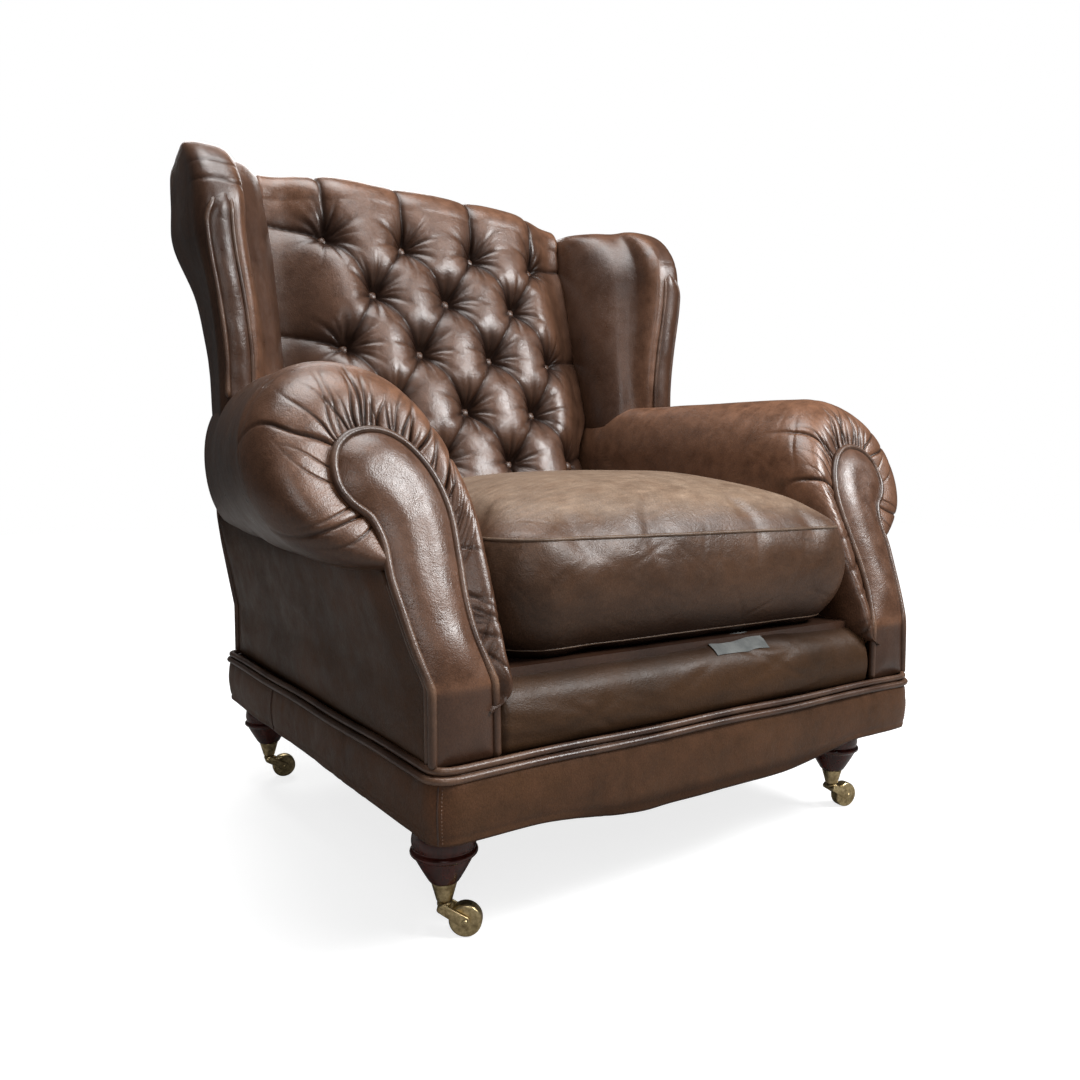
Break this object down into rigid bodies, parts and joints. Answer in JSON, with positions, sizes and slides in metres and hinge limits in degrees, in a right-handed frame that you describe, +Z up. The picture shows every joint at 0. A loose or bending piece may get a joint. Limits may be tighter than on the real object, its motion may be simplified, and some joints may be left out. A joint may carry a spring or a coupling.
{
  "type": "club chair",
  "caption": "Worn brown leather club chair: deep-buttoned raked back with wings, rolled scroll arms, loose crowned seat cushion, turned wooden feet on swivelling brass castors.",
  "frame": {"origin": "on the floor under the middle of the chair's bounding box", "axes": "+Z up, -Y to the front of the chair, +X to the right seen from the front"},
  "size_m": [1.112, 0.8994, 1.09],
  "materials": {
    "leather": "antique brown hide, worn and polished by use",
    "leather_seat": "the same hide, rubbed pale and creased",
    "beech": "plain sawn frame wood",
    "mahogany": "dark polished turned wood",
    "brass": "aged dull brass",
    "steel": "bare spring wire",
    "cloth": "black lining cloth",
    "tab_cloth": "plain grey cloth"
  },
  "bodies": {
    "chair": {"leg_front_left": "mahogany", "castor_cup_front_left": "brass", "leg_front_right": "mahogany", "castor_cup_front_right": "brass", "leg_rear_left": "mahogany", "castor_cup_rear_left": "brass", "leg_rear_right": "mahogany", "castor_cup_rear_right": "brass", "front_rail": "beech", "rear_rail": "beech", "leg_board_front": "beech", "leg_board_rear": "beech", "back_top_rail": "beech", "back_lower_rail": "beech", "side_rail_left": "beech", "arm_board_left": "beech", "arm_rail_left": "beech", "back_post_left": "beech", "wing_board_left": "beech", "plinth_left": "leather", "arm_block_left": "leather", "arm_facing_left": "leather", "arm_pad_left": "leather", "outside_arm_left": "leather", "wing_pad_left": "leather", "outside_wing_left": "leather", "side_rail_right": "beech", "arm_board_right": "beech", "arm_rail_right": "beech", "back_post_right": "beech", "wing_board_right": "beech", "plinth_right": "leather", "arm_block_right": "leather", "arm_facing_right": "leather", "arm_pad_right": "leather", "outside_arm_right": "leather", "wing_pad_right": "leather", "outside_wing_right": "leather", "plinth_front": "leather", "plinth_rear": "leather", "front_border": "leather", "seat_deck": "leather", "back_pad": "leather", "outside_back": "leather", "seat_cushion": "leather_seat", "seat_spring_1": "steel", "seat_spring_2": "steel", "seat_spring_3": "steel", "seat_spring_4": "steel", "dust_cover": "cloth", "cloth_tab": "tab_cloth"},
    "fork_front_left": {"castor_fork_front_left": "brass"},
    "wheel_front_left": {"castor_wheel_front_left": "brass"},
    "fork_front_right": {"castor_fork_front_right": "brass"},
    "wheel_front_right": {"castor_wheel_front_right": "brass"},
    "fork_rear_left": {"castor_fork_rear_left": "brass"},
    "wheel_rear_left": {"castor_wheel_rear_left": "brass"},
    "fork_rear_right": {"castor_fork_rear_right": "brass"},
    "wheel_rear_right": {"castor_wheel_rear_right": "brass"}
  },
  "joints": [
    {"name": "swivel_front_left", "type": "hinge", "parent": "chair", "child": "fork_front_left", "pos_m": [-0.3533, -0.35668, 0.04], "axis": [0, 0, 1], "continuous": true},
    {"name": "roll_front_left", "type": "hinge", "parent": "fork_front_left", "child": "wheel_front_left", "pos_m": [-0.33347, -0.3719, 0.0195], "axis": [0.6088, 0.7934, 0], "continuous": true},
    {"name": "swivel_front_right", "type": "hinge", "parent": "chair", "child": "fork_front_right", "pos_m": [0.3533, -0.35668, 0.04], "axis": [0, 0, 1], "continuous": true},
    {"name": "roll_front_right", "type": "hinge", "parent": "fork_front_right", "child": "wheel_front_right", "pos_m": [0.37792, -0.36102, 0.0195], "axis": [0.1736, 0.9848, 0], "continuous": true},
    {"name": "swivel_rear_left", "type": "hinge", "parent": "chair", "child": "fork_rear_left", "pos_m": [-0.3533, 0.30332, 0.04], "axis": [0, 0, 1], "continuous": true},
    {"name": "roll_rear_left", "type": "hinge", "parent": "fork_rear_left", "child": "wheel_rear_left", "pos_m": [-0.32876, 0.29855, 0.0195], "axis": [0.1908, 0.9816, 0], "continuous": true},
    {"name": "swivel_rear_right", "type": "hinge", "parent": "chair", "child": "fork_rear_right", "pos_m": [0.3533, 0.30332, 0.04], "axis": [0, 0, 1], "continuous": true},
    {"name": "roll_rear_right", "type": "hinge", "parent": "fork_rear_right", "child": "wheel_rear_right", "pos_m": [0.37614, 0.29315, 0.0195], "axis": [0.4067, 0.9135, 0], "continuous": true}
  ]
}
